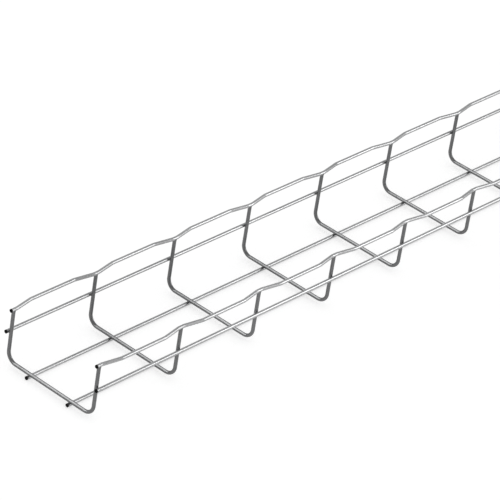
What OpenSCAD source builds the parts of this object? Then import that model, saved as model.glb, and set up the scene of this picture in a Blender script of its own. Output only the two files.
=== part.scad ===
// Wire basket cable tray, one stock length.
// Straight floor and side wires and two waved edge wires run along X.
// U-shaped cross wires sit inside them at every pitch and are welded to all six.
// X runs along the tray, Y across it (left is +Y), and the floor wires stand on Z = 0.

/* [Wire] */
// Diameter of the drawn steel wire
wire_d = 3.5; // [3:0.1:4.5]
// Depth that two crossing wires are pressed into each other at a weld
weld_set = 0.35; // [0.1:0.05:0.6]
// Depth that the end of a cross wire is pressed into the edge wire on top of it
tee_set = 0.8; // [0.3:0.1:1.2]

/* [Basket] */
// Clear width between the legs of the cross wires
inner_width = 100; // [80:5:150]
// Clear depth from the cross wires on the floor to the top of the edge wires
inner_depth = 51.5; // [45:0.5:110]
// Inner radius of the bend between floor and leg of a cross wire
corner_r = 8; // [4:0.5:14]

/* [Mesh] */
// Distance from one cross wire to the next
rib_pitch = 100; // [60:5:150]
// Number of cross wires
rib_count = 31; // [3:1:31]
// Distance between the two floor wires, centre to centre
floor_spacing = 50; // [30:2:56]
// Height of the side wires above the middle of the cross wires' floor
side_rise = 28.5; // [20:0.5:36]
// Length of every long wire beyond the middle of the outermost cross wire
end_stub = 3.5; // [2.5:0.5:20]

/* [Edge wave] */
// How far the edge wires stand outward between two cross wires
wave_out = 3.6; // [0.6:0.2:8]
// Middle-line radius of the kinks in the edge wires
wave_bend_r = 12; // [6:1:20]

/* [Hidden] */
$fn = 32;
left = 1;
right = -1;

// Straight length of edge wire on each side of a cross wire's end
seat_half = wire_d / 2 + 0.25;
// How far one wave of edge wire runs into the next, and how many are joined at a time
seat_lap = 0.5;
wave_group = 6;

// Heights of the middle lines
floor_wire_z = wire_d / 2;
rib_floor_z = floor_wire_z + wire_d - weld_set;
side_wire_z = rib_floor_z + side_rise;
edge_wire_z = rib_floor_z + inner_depth;

// Distances of the middle lines from the tray's middle plane
leg_y = inner_width / 2 + wire_d / 2;
floor_wire_y = floor_spacing / 2;
side_wire_y = leg_y + wire_d - weld_set;

bend_r = corner_r + wire_d / 2;
leg_top_z = edge_wire_z - wire_d / 2 + tee_set;
ribs_length = (rib_count - 1) * rib_pitch;
long_wire_length = ribs_length + 2 * end_stub;

// Wave of the edge wires: four kinks of one angle with straights between them.
// The sine and cosine of this angle are true to nine places when cut to six, so the wire's
// pieces still meet without a step where the model is written out with six digits.
kink_angle = 9.87074;
kink_rise = wave_bend_r * (1 - cos(kink_angle));
ramp_length = (wave_out - 2 * kink_rise) / sin(kink_angle);
wave_run = seat_half + 2 * wave_bend_r * sin(kink_angle) + ramp_length * cos(kink_angle);
crest_length = rib_pitch - 2 * wave_run;

function rib_name(i) = str("cross_wire_", i < 10 ? "0" : "", i);
function rib_x(i) = (i - 1) * rib_pitch - ribs_length / 2;

// Wire along +X from the origin
module wire_x(length) {
    rotate([0, 90, 0]) cylinder(d = wire_d, h = length);
}

// Straight wire along +X with its children at the far end
module straight_then(length) {
    wire_x(length);
    translate([length, 0, 0]) children();
}

// Wire bent by an angle, up to +Y or down to -Y, with its children at the far end.
// It starts at the origin and heads along +X.
module bend_then(radius, angle) {
    side = sign(angle);
    translate([0, side * radius, 0]) {
        rotate([0, 0, -side * 90])
            rotate_extrude(angle = angle)
                translate([radius, 0])
                    rotate(-90) circle(d = wire_d);
        rotate([0, 0, angle]) translate([0, -side * radius, 0]) children();
    }
}

// Long straight wire, centred on X = 0
module long_wire(y, z) {
    color("silver")
        translate([-long_wire_length / 2, y, z])
            wire_x(long_wire_length);
}

// One wave of edge wire, from the cross wire at X = 0 to the seat on the next one
module edge_wave() {
    straight_then(seat_half)
        bend_then(wave_bend_r, kink_angle)
        straight_then(ramp_length)
        bend_then(wave_bend_r, -kink_angle)
        straight_then(crest_length)
        bend_then(wave_bend_r, -kink_angle)
        straight_then(ramp_length)
        bend_then(wave_bend_r, kink_angle)
        wire_x(seat_half + seat_lap);
}

// Edge wire of one side: it bows outward between the cross wires and is cut off straight
module edge_wire(side) {
    color("silver")
        mirror([0, side == right ? 1 : 0, 0])
            translate([-ribs_length / 2, leg_y, edge_wire_z]) {
                translate([-end_stub, 0, 0]) wire_x(end_stub + seat_half);
                for (first = [1:wave_group:rib_count - 1])
                    union() {
                        for (i = [first:min(first + wave_group, rib_count) - 1])
                            translate([(i - 1) * rib_pitch, 0, 0]) edge_wave();
                    }
                translate([ribs_length, 0, 0]) wire_x(end_stub);
            }
}

// Left half of a cross wire, from the tray's middle plane up to the end of the leg
module rib_half() {
    translate([0, 0, rib_floor_z])
        rotate([90, 0, 90])
            straight_then(leg_y - bend_r)
            bend_then(bend_r, 90)
            wire_x(leg_top_z - rib_floor_z - bend_r);
}

// What the six long wires press out of a cross wire
module weld_seats() {
    reach = wire_d;
    for (side = [left, right]) {
        for (seat = [
            [floor_wire_y, floor_wire_z],
            [side_wire_y, side_wire_z],
            [leg_y, edge_wire_z]
        ])
            translate([-reach, side * seat[0], seat[1]]) wire_x(2 * reach);
    }
}

// Cross wire number i, bent to a U, with a saddle pressed into it at each weld
module cross_wire(i) {
    color("gray")
        translate([rib_x(i), 0, 0])
            difference() {
                union() {
                    rib_half();
                    mirror([0, 1, 0]) rib_half();
                }
                weld_seats();
            }
}

for (i = [1:rib_count]) cross_wire(i);
long_wire(left * floor_wire_y, floor_wire_z);  // floor_wire_left
long_wire(right * floor_wire_y, floor_wire_z);  // floor_wire_right
long_wire(left * side_wire_y, side_wire_z);  // side_wire_left
long_wire(right * side_wire_y, side_wire_z);  // side_wire_right
edge_wire(left);  // edge_wire_left
edge_wire(right);  // edge_wire_right
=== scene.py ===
import bmesh
import bpy
import numpy as np
from mathutils import Matrix, Vector


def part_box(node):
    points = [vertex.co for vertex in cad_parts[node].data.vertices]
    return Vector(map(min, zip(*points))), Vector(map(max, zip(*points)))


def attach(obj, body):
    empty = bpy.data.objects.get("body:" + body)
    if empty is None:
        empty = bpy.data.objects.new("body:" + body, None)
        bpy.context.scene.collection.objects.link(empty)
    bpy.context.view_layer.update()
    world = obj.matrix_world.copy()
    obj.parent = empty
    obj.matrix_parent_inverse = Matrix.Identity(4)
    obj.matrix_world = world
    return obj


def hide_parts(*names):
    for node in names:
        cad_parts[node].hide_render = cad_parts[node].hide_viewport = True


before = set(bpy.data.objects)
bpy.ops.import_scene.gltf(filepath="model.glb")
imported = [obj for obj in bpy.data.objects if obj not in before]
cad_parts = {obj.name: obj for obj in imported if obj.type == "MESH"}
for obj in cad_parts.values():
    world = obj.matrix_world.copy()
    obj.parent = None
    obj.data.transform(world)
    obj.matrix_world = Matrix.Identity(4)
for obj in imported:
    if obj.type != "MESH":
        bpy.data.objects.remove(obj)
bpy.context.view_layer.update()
print("wire basket: frame loaded,", len(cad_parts), "wires")

# Everything is in metres: X along the tray, Y across it (left is +Y), Z up from the floor.

# ---------- sizes read from the frame ----------
ribNames = sorted(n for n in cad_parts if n.startswith("cross_wire_"))
floorLow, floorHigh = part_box("floor_wire_left")
sideLow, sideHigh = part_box("side_wire_left")
edgeLow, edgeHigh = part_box("edge_wire_left")
ribLow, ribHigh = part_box(ribNames[0])
wireRadius = (floorHigh.z - floorLow.z) / 2
trayHalfLength = floorHigh.x
ribX = np.array([sum(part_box(n)[k].x for k in (0, 1)) / 2 for n in ribNames])
ribPitch = ribX[1] - ribX[0]
floorWireY = (floorLow.y + floorHigh.y) / 2
floorWireZ = wireRadius
sideWireY = (sideLow.y + sideHigh.y) / 2
sideWireZ = (sideLow.z + sideHigh.z) / 2
edgeWireZ = (edgeLow.z + edgeHigh.z) / 2
legY = ribHigh.y - wireRadius
ribFloorZ = ribLow.z + wireRadius
waveOut = edgeHigh.y - edgeLow.y - 2 * wireRadius
sides = {"left": 1, "right": -1}


# ---------- meshes ----------
meshRules = {
    "joinWithin": 2e-6,  # joins each tube to its ends
    "sharpAngle": 1.0,  # radians between two faces that keep an edge
}


def gridFaces(rows, cols):
    # Quads of a grid whose columns close on themselves, four corner numbers a row
    i = np.arange(rows - 1)[:, None] * cols
    j = np.arange(cols)[None, :]
    k = (j + 1) % cols
    quads = np.stack([i + j, i + k, i + cols + k, i + cols + j], -1)
    return quads.reshape(-1, 4)


def meshFrom(name, parts):
    # parts: dictionaries with points (n, 3), quads (m, 4), uv (m, 4, 2) and material number
    points = np.concatenate([p["points"] for p in parts])
    starts = np.cumsum([0] + [len(p["points"]) for p in parts[:-1]])
    quads = np.concatenate([p["quads"] + s for p, s in zip(parts, starts)])
    uv = np.concatenate([p["uv"] for p in parts])
    look = np.concatenate([np.broadcast_to(p["look"], len(p["quads"])) for p in parts])
    mesh = bpy.data.meshes.new(name)
    mesh.from_pydata(points, [], quads.tolist())
    mesh.uv_layers.new(name="wireUV").data.foreach_set("uv", uv.astype(np.float32).ravel())
    mesh.polygons.foreach_set("use_smooth", np.ones(len(quads), bool))
    mesh.polygons.foreach_set("material_index", look.astype(np.int32))
    work = bmesh.new()
    work.from_mesh(mesh)
    bmesh.ops.remove_doubles(work, verts=work.verts, dist=meshRules["joinWithin"])
    work.to_mesh(mesh)
    work.free()
    mesh.set_sharp_from_angle(angle=meshRules["sharpAngle"])
    return mesh


def addPiece(name, parts, looks, node):
    piece = bpy.data.objects.new(name, meshFrom(name, parts))
    bpy.context.scene.collection.objects.link(piece)
    for look in looks:
        piece.data.materials.append(look)
    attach(piece, "root")
    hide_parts(node)
    return piece


# ---------- drawn wire ----------
wireShape = {
    "facesRound": 24,
    "coarseStep": 0.009,  # ring spacing on plain stretches
    "fineStep": 0.0004,  # ring spacing at a weld
    "fineReach": 0.0026,
    "electrodeDepth": 0.00013,  # flat pressed by the welding electrode
    "electrodeReach": 0.0019,
    "electrodePower": 3,  # of the cosine that fades a flat round the wire
    "finishShift": 7.3,  # metres from the finish of one wire to that of the next
    "ringGap": 0.00012,  # rings closer than this become one
    "endRings": (1.0, 0.93, 0.8, 0.55, 0.28, 0.02),  # shares of the wire's radius
    "endDrop": (0, 0, 0.000033, 0.000022, 0.000022, 0.000022),  # how far each ring sinks in
    "endHollow": 0.00012,
    "endTilt": 0.00016,
    "endSeed": 100,  # the two ends of a wire draw from this times its seed, plus 0 or 1
    "paintedShadeEndBand": 0.0008,  # length of wire beside each cut end that is painted near black as painted shade
}


def bentLine(pieces, s):
    # A flat line of straights and arcs, each a length and a curvature. A point lies on its
    # piece at arc t: start + t * sinc(k t / 2) along the heading half way round, h + k t / 2.
    lengths, bends = np.array(pieces, float).T
    starts = np.concatenate([[0], np.cumsum(lengths)])[:-1]
    heads = np.concatenate([[0], np.cumsum(lengths * bends)])[:-1]
    chord = lengths * np.sinc(lengths * bends / 2 / np.pi)
    middle = heads + lengths * bends / 2
    corners = np.stack([chord * np.cos(middle), chord * np.sin(middle)], 1)
    corners = np.concatenate([[[0, 0]], np.cumsum(corners, 0)])[:-1]
    n = np.clip(np.searchsorted(starts, s, side="right") - 1, 0, len(lengths) - 1)
    t = s - starts[n]
    reach = t * np.sinc(t * bends[n] / 2 / np.pi)
    half = heads[n] + t * bends[n] / 2
    place = corners[n] + reach[:, None] * np.stack([np.cos(half), np.sin(half)], 1)
    return place, heads[n] + t * bends[n]


def ringPlaces(length, fineAt, curved):
    # Where the rings of a wire go: coarse steps, fine ones round the welds, even ones in bends
    shape = wireShape
    places = [np.linspace(0, length, max(2, int(length / shape["coarseStep"])))]
    fine = np.arange(-shape["fineReach"], shape["fineReach"] + 1e-9, shape["fineStep"])
    places.append((np.asarray(fineAt)[:, None] + fine[None, :]).ravel())
    places.append([shape["paintedShadeEndBand"], length - shape["paintedShadeEndBand"]])
    places += [np.linspace(a, b, n) for a, b, n in curved]
    places = np.unique(np.clip(np.concatenate(places), 0, length))
    keep = np.concatenate([[True], np.diff(places) > shape["ringGap"]])
    keep[-1] = True
    return places[keep]


def wireTube(s, place, heading, toPoint, flats, cutEnds, seed):
    # Tube on a flat line: point = line + R(s, a) * (cos a * side + sin a * across), where R is
    # the wire's radius less the electrode flats, exp(-2 (d / reach)^2) at a distance d from the
    # weld times a power of cos(a - a0).
    shape = wireShape
    turn = np.linspace(0, 2 * np.pi, shape["facesRound"], endpoint=False)
    radius = np.full((len(s), len(turn)), wireRadius)
    for at, towards in flats:
        along = np.exp(-(((s - at) / shape["electrodeReach"]) ** 2) * 2)
        across = np.clip(np.cos(turn - towards), 0, 1) ** shape["electrodePower"]
        radius -= shape["electrodeDepth"] * along[:, None] * across[None, :]
    side = np.stack([-np.sin(heading), np.cos(heading)], 1)
    rings = (radius * np.cos(turn))[:, :, None] * side[:, None, :] + place[:, None, :]
    rise = radius * np.sin(turn)
    points = toPoint(rings[:, :, 0], rings[:, :, 1], rise).reshape(-1, 3)
    quads = gridFaces(len(s), len(turn))
    arc = np.append(turn, 2 * np.pi) * wireRadius
    j = np.arange(len(turn))
    u = s[:, None] + seed * shape["finishShift"]
    uv = np.stack(
        [
            np.stack(np.broadcast_arrays(u[:-1], arc[j][None, :]), -1),
            np.stack(np.broadcast_arrays(u[:-1], arc[j + 1][None, :]), -1),
            np.stack(np.broadcast_arrays(u[1:], arc[j + 1][None, :]), -1),
            np.stack(np.broadcast_arrays(u[1:], arc[j][None, :]), -1),
        ],
        2,
    ).reshape(-1, 4, 2)
    middle = (s[:-1] + s[1:]) / 2
    # faces within the band at a cut end take the near-black painted shade
    paintedDarkEnd = cutEnds & (np.minimum(middle, s[-1] - middle) < shape["paintedShadeEndBand"])
    look = np.repeat(paintedDarkEnd.astype(int), len(turn))
    parts = [{"points": points, "quads": quads, "uv": uv, "look": look}]
    for end in (0, 1):
        parts.append(wireEnd(s, place, heading, toPoint, turn, end, cutEnds, seed))
    return parts


def wireEnd(s, place, heading, toPoint, turn, end, cut, seed):
    # Face of a wire's end: rings shrink from the wire's radius r to its middle. A sheared face
    # sinks in along the wire by a hollow 1 - (q / r)^2, a tilt and a small drop inside its rim.
    shape = wireShape
    share = np.array(shape["endRings"])
    inward = np.zeros((len(share), len(turn)))
    if cut:
        rng = np.random.default_rng(seed * shape["endSeed"] + end)
        lean = rng.uniform(0, 2 * np.pi)
        tilt = shape["endTilt"] * (1 + np.cos(turn - lean)) / 2
        inward = shape["endHollow"] * (1 - share[:, None] ** 2) + tilt[None, :] * share[:, None]
        inward += np.array(shape["endDrop"])[:, None]
        inward[0] = 0
    at = -1 if end else 0
    h = heading[at]
    ahead = np.array([np.cos(h), np.sin(h)]) * (1 if end else -1)
    side = np.array([-np.sin(h), np.cos(h)])
    q = wireRadius * share[:, None]
    flat = place[at] + (q * np.cos(turn))[:, :, None] * side - inward[:, :, None] * ahead
    points = toPoint(flat[:, :, 0], flat[:, :, 1], q * np.sin(turn)).reshape(-1, 3)
    quads = gridFaces(len(share), len(turn))
    if not end:
        quads = quads[:, ::-1]
    uv = np.stack([(q * np.cos(turn)).ravel(), (q * np.sin(turn)).ravel()], 1)[quads]
    # the last ring closes on a fan of thin quads over its own middle
    n, first = len(turn), (len(share) - 1) * len(turn)
    j = np.arange(0, n - 2, 2)
    fan = np.stack([np.full(len(j), first), first + j + 1, first + j + 2, first + (j + 3) % n], 1)
    if not end:
        fan = fan[:, ::-1]
    quads = np.concatenate([quads, fan])
    uv = np.concatenate([uv, np.zeros((len(fan), 4, 2))])
    # the face of a cut end takes the near-black painted shade
    return {"points": points, "quads": quads, "uv": uv, "look": 1 if cut else 0}


# ---------- weld beads ----------
beadShape = {
    "stepsRound": 30,
    "section": 8,
    "seatReach": 0.00122,  # middle of the bead, from the middle of the crossing
    "halfWidth": 0.00036,
    "sink": 0.00006,
    "uneven": 0.16,
    "lobes": ((3, 1.0), (5, 0.7)),  # lobes round a ring between two wires, and the share of each
    "legLobes": 4,
    "legThick": 0.00034,  # round section of the ring under an edge wire
    "legReach": 0.96,  # its middle line, in shares of the wire's radius
    "legDrop": (1.02, 0.62),  # its depth along the edge wire and across it, in the same shares
    "seed": 1000,
}


def crossingBead(middle, alongA, alongB, up, rng):
    # Metal squeezed out between two crossing wires: a ring round the seat. For direction u and
    # section angle v, reach = R + w cos v, height = (A + B) / 2 + (B - A + sink) / 2 * sin v,
    # where A and B are the heights of the two wires' skins at that reach.
    shape = beadShape
    gap = ribFloorZ - floorWireZ
    u = np.linspace(0, 2 * np.pi, shape["stepsRound"], endpoint=False)[:, None]
    v = np.linspace(0, 2 * np.pi, shape["section"], endpoint=False)[None, :]
    waves = [share * np.sin(n * u + rng.uniform(0, 6)) for n, share in shape["lobes"]]
    wobble = 1 + shape["uneven"] * sum(waves)
    reach = shape["seatReach"] + shape["halfWidth"] * wobble * np.cos(v)
    skinA = np.sqrt(wireRadius**2 - (reach * np.sin(u)) ** 2) - gap / 2
    skinB = gap / 2 - np.sqrt(wireRadius**2 - (reach * np.cos(u)) ** 2)
    height = (skinA + skinB) / 2 + (np.abs(skinB - skinA) / 2 + shape["sink"]) * np.sin(v)
    x, y = reach * np.cos(u), reach * np.sin(u)
    return beadPart(middle, alongA, alongB, up, x, y, height)


def legBead(middle, alongA, alongB, up, rng):
    # Metal squeezed out where a leg ends in the edge wire: a ring round the leg that rides up
    # the edge wire's flanks, height = -r (a cos^2 u + b sin^2 u), with a round section.
    shape = beadShape
    dropAlong, dropAcross = shape["legDrop"]
    u = np.linspace(0, 2 * np.pi, shape["stepsRound"], endpoint=False)[:, None]
    v = np.linspace(0, 2 * np.pi, shape["section"], endpoint=False)[None, :]
    wobble = 1 + shape["uneven"] * np.sin(shape["legLobes"] * u + rng.uniform(0, 6))
    thick = shape["legThick"] * wobble
    reach = wireRadius * shape["legReach"] + thick * np.cos(v)
    lift = -wireRadius * (dropAlong * np.cos(u) ** 2 + dropAcross * np.sin(u) ** 2)
    height = lift + thick * np.sin(v)
    return beadPart(middle, alongA, alongB, up, reach * np.cos(u), reach * np.sin(u), height)


def beadPart(middle, alongA, alongB, up, x, y, height):
    # Closed ring of quads, turned outward whichever way its three axes are handed
    axes = np.array([alongA, alongB, up], float)
    local = np.stack(np.broadcast_arrays(x, y, height), -1).reshape(-1, 3)
    points = local @ axes + np.asarray(middle)
    steps, section = x.shape
    quads = gridFaces(steps, section)
    i = np.arange(section)
    last = (steps - 1) * section
    closing = np.stack([last + i, last + (i + 1) % section, (i + 1) % section, i], 1)
    quads = np.concatenate([quads, closing])
    if np.linalg.det(axes) > 0:
        quads = quads[:, ::-1]
    uv = local[:, :2][quads]
    return {"points": points, "quads": quads, "uv": uv, "look": 2}


# ---------- finishes ----------
zincFinish = {
    "longWires": ((0.3, 0.302, 0.306), (0.44, 0.442, 0.446)),  # darkest and lightest zinc
    # the cross wires are the same zinc as the long wires, given a darker copy of it: painted shade
    # that darkens them, most of all their legs
    "crossWiresPaintedShade": ((0.115, 0.116, 0.118), (0.185, 0.186, 0.188)),
    "spangleSize": 0.0014,
    "spangleDetail": 3.0,
    "cloudScale": 9.0,  # per metre
    "cloudDetail": 2.0,
    "drawLines": (14.0, 900.0),  # per metre, along the wire and round it
    "lineDetail": (4.0, 0.65),  # octaves, and how much of each goes on to the next
    "toneSpread": (1.1, 1.9),  # sum of the three noises at the darkest and the lightest zinc
    "roughness": (0.23, 0.34),
    "bump": 0.1,
    "bumpHeight": 0.00004,
}
weldFinish = {
    "dark": (0.15, 0.15, 0.152),
    "light": (0.28, 0.28, 0.282),
    "metal": 1.0,
    "roughness": 0.42,
    "grain": 900.0,  # per metre
}
# near black on the cut ends: painted shade, far darker than bare steel
cutEndShadeFinish = {
    "dark": (0.002, 0.002, 0.002),
    "light": (0.012, 0.012, 0.012),
    "metal": 0.0,
    "roughness": 0.7,
    "grain": 1500.0,
}
bareMetal = {"detail": (4.0, 0.7), "bump": 0.5, "bumpHeight": 0.0001, "specular": 0.05}


def newLook(name):
    look = bpy.data.materials.new(name)
    look.use_nodes = True
    nodes = look.node_tree.nodes
    shader = nodes["Principled BSDF"]
    return look, nodes, look.node_tree.links, shader


def noiseNode(nodes, links, source, scale, detail, rough=0.5):
    noise = nodes.new("ShaderNodeTexNoise")
    noise.inputs["Scale"].default_value = scale
    noise.inputs["Detail"].default_value = detail
    noise.inputs["Roughness"].default_value = rough
    links.new(source, noise.inputs["Vector"])
    return noise.outputs["Fac"]


def rangeNode(nodes, links, source, low, high, fromLow=0.3, fromHigh=0.7):
    spread = nodes.new("ShaderNodeMapRange")
    spread.inputs["From Min"].default_value = fromLow
    spread.inputs["From Max"].default_value = fromHigh
    spread.inputs["To Min"].default_value = low
    spread.inputs["To Max"].default_value = high
    links.new(source, spread.inputs["Value"])
    return spread.outputs["Result"]


def mixColours(nodes, links, amount, dark, light):
    mix = nodes.new("ShaderNodeMix")
    mix.data_type = "RGBA"
    mix.inputs["A"].default_value = (*dark, 1)
    mix.inputs["B"].default_value = (*light, 1)
    links.new(amount, mix.inputs["Factor"])
    return mix.outputs["Result"]


def blendValues(nodes, links, kind, a, b):
    both = nodes.new("ShaderNodeMath")
    both.operation = kind
    links.new(a, both.inputs[0])
    links.new(b, both.inputs[1])
    return both.outputs[0]


def addBump(nodes, links, shader, height, relief):
    bump = nodes.new("ShaderNodeBump")
    bump.inputs["Strength"].default_value = relief["bump"]
    bump.inputs["Distance"].default_value = relief["bumpHeight"]
    links.new(height, bump.inputs["Height"])
    links.new(bump.outputs["Normal"], shader.inputs["Normal"])


def zincLook(wires):
    # Zinc on drawn wire: small spangle, and faint lines along the wire from the drawing die
    look, nodes, links, shader = newLook("zincOn_" + wires)
    finish = zincFinish
    place = nodes.new("ShaderNodeTexCoord")
    grain = 1 / finish["spangleSize"]
    spangle = noiseNode(nodes, links, place.outputs["Object"], grain, finish["spangleDetail"])
    patches = finish["cloudScale"], finish["cloudDetail"]
    cloud = noiseNode(nodes, links, place.outputs["Object"], *patches)
    along = nodes.new("ShaderNodeMapping")
    along.inputs["Scale"].default_value = (*finish["drawLines"], 1)
    links.new(place.outputs["UV"], along.inputs["Vector"])
    lines = noiseNode(nodes, links, along.outputs["Vector"], 1.0, *finish["lineDetail"])
    tone = blendValues(nodes, links, "ADD", spangle, lines)
    tone = blendValues(nodes, links, "ADD", tone, cloud)
    amount = rangeNode(nodes, links, tone, 0, 1, *finish["toneSpread"])
    colour = mixColours(nodes, links, amount, *finish[wires])
    links.new(colour, shader.inputs["Base Color"])
    gloss = rangeNode(nodes, links, lines, *finish["roughness"])
    links.new(gloss, shader.inputs["Roughness"])
    addBump(nodes, links, shader, tone, finish)
    shader.inputs["Metallic"].default_value = 1.0
    return look


def roughLook(name, finish):
    # Metal squeezed out at a weld: grainy and duller than the zinc. Cut wire ends: grainy, and
    # painted near black as painted shade, far darker than bare steel
    look, nodes, links, shader = newLook(name)
    place = nodes.new("ShaderNodeTexCoord")
    grain = finish["grain"], *bareMetal["detail"]
    patches = noiseNode(nodes, links, place.outputs["Object"], *grain)
    amount = rangeNode(nodes, links, patches, 0, 1)
    colour = mixColours(nodes, links, amount, finish["dark"], finish["light"])
    links.new(colour, shader.inputs["Base Color"])
    addBump(nodes, links, shader, patches, bareMetal)
    shader.inputs["Metallic"].default_value = finish["metal"]
    shader.inputs["Specular IOR Level"].default_value = bareMetal["specular"]
    shader.inputs["Roughness"].default_value = finish["roughness"]
    return look


# the cut ends' near-black look is painted shade
cutEndShadeLook = roughLook("cutEndPaintedShade", cutEndShadeFinish)
weldSkin = roughLook("weldSqueeze", weldFinish)
longLooks = [zincLook("longWires"), cutEndShadeLook, weldSkin]
# the cross wires take the darker zinc copy, which is painted shade
crossLooks = [zincLook("crossWiresPaintedShade"), cutEndShadeLook, weldSkin]
print("wire basket: finishes made")


# ---------- cross wires ----------
ribShape = {
    "bendRadius": 0.00975,  # to the middle of the wire
    "bendRings": 20,
    "legInEdge": 0.0008,  # how deep a leg's end sits in the edge wire
}


def crossWireParts(x, seed):
    # U-shaped path from the left leg's end down, across and up, as straights and two quarter turns
    shape = ribShape
    bend = shape["bendRadius"]
    legTop = edgeWireZ - wireRadius + shape["legInEdge"]
    leg = legTop - ribFloorZ - bend
    quarter = bend * np.pi / 2
    floor = 2 * (legY - bend)
    pieces = [(leg, 0), (quarter, 1 / bend), (floor, 0), (quarter, 1 / bend), (leg, 0)]
    length = 2 * (leg + quarter) + floor
    sideAt = legTop - sideWireZ
    floorAt = leg + quarter + (legY - bend) - floorWireY
    welds = [sideAt, floorAt, length - floorAt, length - sideAt]
    bends = [(leg, leg + quarter, shape["bendRings"])]
    bends.append((length - leg - quarter, length - leg, shape["bendRings"]))
    s = ringPlaces(length, welds, bends)
    place, heading = bentLine(pieces, s)

    def toPoint(down, across, rise):
        return np.stack([x - rise, legY - across, legTop - down], -1)

    parts = wireTube(s, place, heading, toPoint, [(w, 0.0) for w in welds], False, seed)
    rng = np.random.default_rng(beadShape["seed"] + seed)
    unitX, unitY, unitZ = np.eye(3)
    for side in sides.values():
        low = (x, side * floorWireY, (floorWireZ + ribFloorZ) / 2)
        parts.append(crossingBead(low, unitX, unitY, unitZ, rng))
        high = (x, side * (legY + sideWireY) / 2, sideWireZ)
        parts.append(crossingBead(high, unitZ, unitX, side * unitY, rng))
        parts.append(legBead((x, side * legY, edgeWireZ), unitX, unitY, unitZ, rng))
    return parts


for number, (node, x) in enumerate(zip(ribNames, ribX), 1):
    addPiece(node + "_drawn", crossWireParts(x, number), crossLooks, node)
print("wire basket:", len(ribNames), "cross wires with their weld beads")


# ---------- straight long wires ----------
straightWires = {
    # name: Y, Z, where its electrode flats look (0 outward, -pi / 2 down), slot, seed
    "floor_wire": (floorWireY, floorWireZ, -np.pi / 2, "floor_wires", 50),
    "side_wire": (sideWireY, sideWireZ, 0.0, "side_wires", 60),
}


def straightWire(name, side, y, z, flatTowards, slotName, seed):
    length = 2 * trayHalfLength
    welds = ribX + trayHalfLength
    s = ringPlaces(length, welds, [])
    place, heading = bentLine([(length, 0)], s)

    def toPoint(along, outward, rise):
        return np.stack([along - trayHalfLength, side * (y + outward), z + side * rise], -1)

    flats = [(w, side * flatTowards) for w in welds]
    parts = wireTube(s, place, heading, toPoint, flats, True, seed + side)
    addPiece(name + "_drawn", parts, longLooks, name)


for sideName, side in sides.items():
    for wireName, wireValues in straightWires.items():
        straightWire(f"{wireName}_{sideName}", side, *wireValues)
print("wire basket: floor and side wires")


# ---------- waved edge wires ----------
waveShape = {
    "kinkAngle": np.radians(9.87074),
    "kinkRadius": 0.012,
    "seatHalf": wireRadius + 0.00025,  # straight wire each side of a leg
    "kinkRings": 5,
    "seed": 70,
}


def edgeWire(name, side, seed):
    # Straight seats on the legs, and between them a kink out, a ramp, a kink back and a crest
    shape = waveShape
    angle, radius, seat = shape["kinkAngle"], shape["kinkRadius"], shape["seatHalf"]
    kink = radius * angle
    ramp = (waveOut - 2 * radius * (1 - np.cos(angle))) / np.sin(angle)
    run = seat + 2 * radius * np.sin(angle) + ramp * np.cos(angle)
    crest = ribPitch - 2 * run
    outward, inward = 1 / radius, -1 / radius
    wayOut = [(kink, outward), (ramp, 0), (kink, inward)]
    wayBack = [(kink, inward), (ramp, 0), (kink, outward)]
    stub = trayHalfLength + ribX[0] + seat
    waves = len(ribX) - 1
    pieces = [(stub, 0)]
    for number in range(waves):
        last = number == waves - 1
        pieces += wayOut + [(crest, 0)] + wayBack + [(stub if last else 2 * seat, 0)]
    starts = np.concatenate([[0], np.cumsum([p[0] for p in pieces])])
    spans = zip(starts[:-1], starts[1:], pieces)
    bends = [(a, b, shape["kinkRings"]) for a, b, (_, bend) in spans if bend]
    waveLength = 2 * seat + 4 * kink + 2 * ramp + crest
    welds = stub - seat + np.arange(len(ribX)) * waveLength
    s = ringPlaces(starts[-1], welds, bends)
    place, heading = bentLine(pieces, s)

    def toPoint(along, out, rise):
        return np.stack([along - trayHalfLength, side * (legY + out), edgeWireZ + side * rise], -1)

    flats = [(w, side * np.pi / 2) for w in welds]
    parts = wireTube(s, place, heading, toPoint, flats, True, seed)
    addPiece(name + "_drawn", parts, longLooks, name)


for sideName, side in sides.items():
    edgeWire(f"edge_wire_{sideName}", side, waveShape["seed"] + side)
print("wire basket: edge wires")


# ---------- floor, light and camera ----------
lighting = {
    "worldStrength": 0.72,  # of the air as a light; the camera sees it white
    "floorSize": 60,
    "floorDrop": 0.0001,
    "floorColour": (0.7, 0.7, 0.7),
    "floorGlow": 0.54,  # lifts the floor to white where it is looked at or mirrored
    "aim": (-1.15, 0.0, 0.03),
    "distance": 3.0,
    "lamps": {
        # name: direction from the aim, direction of the long side, long side, short side, radiance
        "farEnd": ((0.67, -0.63, 0.395), (0.0, 0.53, 0.85), 1.8, 1.2, 3.8),
        "overhead": ((-0.35, 0.526, 0.775), (1.0, 0.0, 0.0), 5.0, 1.3, 3.4),
        "lowLeft": ((-0.48, 0.78, 0.4), (1.0, 0.6, 0.0), 1.5, 0.8, 8.0),
    },
}


def makeFloor():
    place = (0, 0, -lighting["floorDrop"])
    bpy.ops.mesh.primitive_plane_add(size=lighting["floorSize"], location=place)
    floor = bpy.context.object
    floor.name = "studioFloor"
    look, nodes, links, shader = newLook("studioFloorWhite")
    shader.inputs["Base Color"].default_value = (*lighting["floorColour"], 1)
    shader.inputs["Roughness"].default_value = 1.0
    shader.inputs["Specular IOR Level"].default_value = 0.0
    shader.inputs["Emission Color"].default_value = (1, 1, 1, 1)
    rays = nodes.new("ShaderNodeLightPath").outputs
    seen = blendValues(nodes, links, "MAXIMUM", rays["Is Camera Ray"], rays["Is Glossy Ray"])
    seen = blendValues(nodes, links, "MAXIMUM", seen, rays["Is Transmission Ray"])
    glow = nodes.new("ShaderNodeMath")
    glow.operation = "MULTIPLY"
    glow.inputs[1].default_value = lighting["floorGlow"]
    links.new(seen, glow.inputs[0])
    links.new(glow.outputs[0], shader.inputs["Emission Strength"])
    floor.data.materials.append(look)


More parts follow.
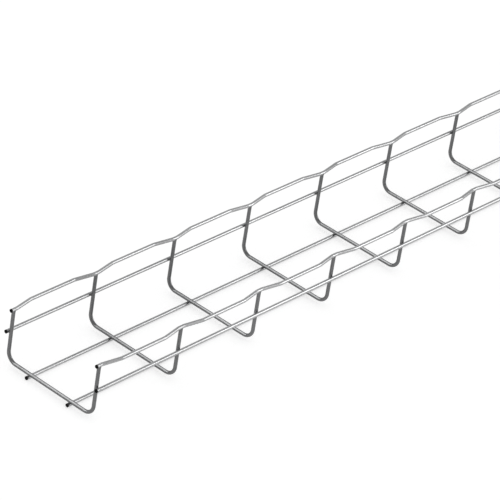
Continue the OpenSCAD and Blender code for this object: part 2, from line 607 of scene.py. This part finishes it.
def makeWorld():
    world = bpy.data.worlds.new("studioAir")
    bpy.context.scene.world = world
    world.use_nodes = True
    nodes, links = world.node_tree.nodes, world.node_tree.links
    air = nodes["Background"]
    air.inputs["Color"].default_value = (1, 1, 1, 1)
    seen = nodes.new("ShaderNodeLightPath")
    strength = nodes.new("ShaderNodeMapRange")
    strength.inputs["To Min"].default_value = lighting["worldStrength"]
    strength.inputs["To Max"].default_value = 1.0
    links.new(seen.outputs["Is Camera Ray"], strength.inputs["Value"])
    links.new(strength.outputs["Result"], air.inputs["Strength"])


def makeLamp(name, direction, longSide, width, height, radiance):
    # Soft box that faces the aim. A lamp of area A and an even radiance takes radiance * pi * A
    # watts. Only the metal mirrors it; the air lights the floor evenly.
    lamp = bpy.data.lights.new(name, "AREA")
    lamp.shape = "RECTANGLE"
    lamp.size, lamp.size_y = width, height
    lamp.energy = radiance * np.pi * width * height
    holder = bpy.data.objects.new(name, lamp)
    bpy.context.scene.collection.objects.link(holder)
    back = np.array(direction) / np.linalg.norm(direction)
    along = np.array(longSide) - back * np.dot(longSide, back)
    along /= np.linalg.norm(along)
    turn = np.stack([along, np.cross(back, along), back], 1)
    place = np.array(lighting["aim"]) + back * lighting["distance"]
    holder.matrix_world = Matrix.Translation(place) @ Matrix(turn.tolist()).to_4x4()
    holder.visible_camera = False
    holder.visible_diffuse = False


cameraPlace = {
    "azimuth": -52.126,  # degrees, 0 looks along +Y
    "elevation": 31.36,
    "roll": 9.259,
    "aim": (-1.22339, 0.02539, 0.03),
    "distance": 3.07569,
    "lens": 243.876,  # millimetres
    "clip": (0.05, 100),
}


def makeCamera():
    spot = cameraPlace
    azimuth, elevation, roll = (np.radians(spot[k]) for k in ("azimuth", "elevation", "roll"))
    level = np.array([np.sin(azimuth), -np.cos(azimuth), 0])
    back = level * np.cos(elevation) + np.array([0, 0, np.sin(elevation)])
    right = np.cross(-back, (0, 0, 1))
    right /= np.linalg.norm(right)
    up = np.cross(right, -back)
    turnedRight = np.cos(roll) * right + np.sin(roll) * up
    turnedUp = np.cos(roll) * up - np.sin(roll) * right
    lens = bpy.data.cameras.new("nearEndCamera")
    lens.lens = spot["lens"]
    lens.clip_start, lens.clip_end = spot["clip"]
    camera = bpy.data.objects.new("nearEndCamera", lens)
    bpy.context.scene.collection.objects.link(camera)
    turn = np.stack([turnedRight, turnedUp, back], 1)
    place = np.array(spot["aim"]) + back * spot["distance"]
    camera.matrix_world = Matrix.Translation(place) @ Matrix(turn.tolist()).to_4x4()
    bpy.context.scene.camera = camera


makeFloor()
makeWorld()
for lampName, lampValues in lighting["lamps"].items():
    makeLamp(lampName, *lampValues)
makeCamera()
bpy.context.scene.view_settings.view_transform = "Standard"
print("wire basket: floor, light and camera")
